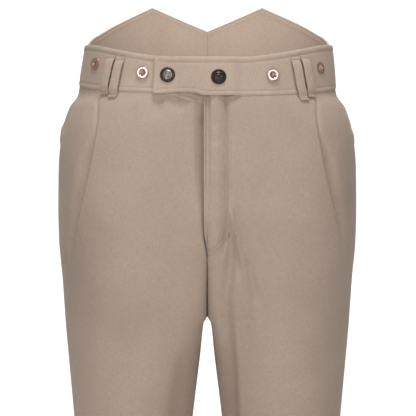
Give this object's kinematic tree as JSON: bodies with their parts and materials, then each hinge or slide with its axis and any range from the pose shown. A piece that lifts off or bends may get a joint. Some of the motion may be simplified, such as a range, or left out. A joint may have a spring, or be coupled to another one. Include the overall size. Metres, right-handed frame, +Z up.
{
  "type": "riding breeches",
  "caption": "High-waisted riding breeches with a fishtail back, pleated fronts, lapped fly, snap-tab waistband, belt loops and brace buttons, filled out as worn.",
  "frame": {"origin": "middle of the waist, level with the middle of the front waistband, where the wearer's waist holds the breeches up", "axes": "+Z up, -Y to the front, +X to the wearer's left"},
  "size_m": [0.3722, 0.2687, 0.9785],
  "materials": {
    "cloth": "tan brushed twill, dull",
    "band_cloth": "the same tan brushed twill over firm interfacing",
    "button": "polished pinkish-brown resin",
    "stud": "antiqued gunmetal"
  },
  "bodies": {
    "root": {"front_left": "cloth", "front_right": "cloth", "back_left": "cloth", "back_right": "cloth", "waistband_left": "band_cloth", "waistband_right": "band_cloth", "back_rise_left": "band_cloth", "back_rise_right": "band_cloth", "loop_front_left_inner": "band_cloth", "loop_front_left_outer": "band_cloth", "loop_front_right_inner": "band_cloth", "loop_front_right_outer": "band_cloth", "loop_back_left_inner": "band_cloth", "loop_back_left_outer": "band_cloth", "loop_back_right_inner": "band_cloth", "loop_back_right_outer": "band_cloth", "button_front_left": "button", "button_front_right": "button", "button_side_left": "button", "button_side_right": "button", "button_back_left": "button", "button_back_right": "button", "stud_tab": "stud", "stud_centre": "stud"}
  },
  "joints": []
}
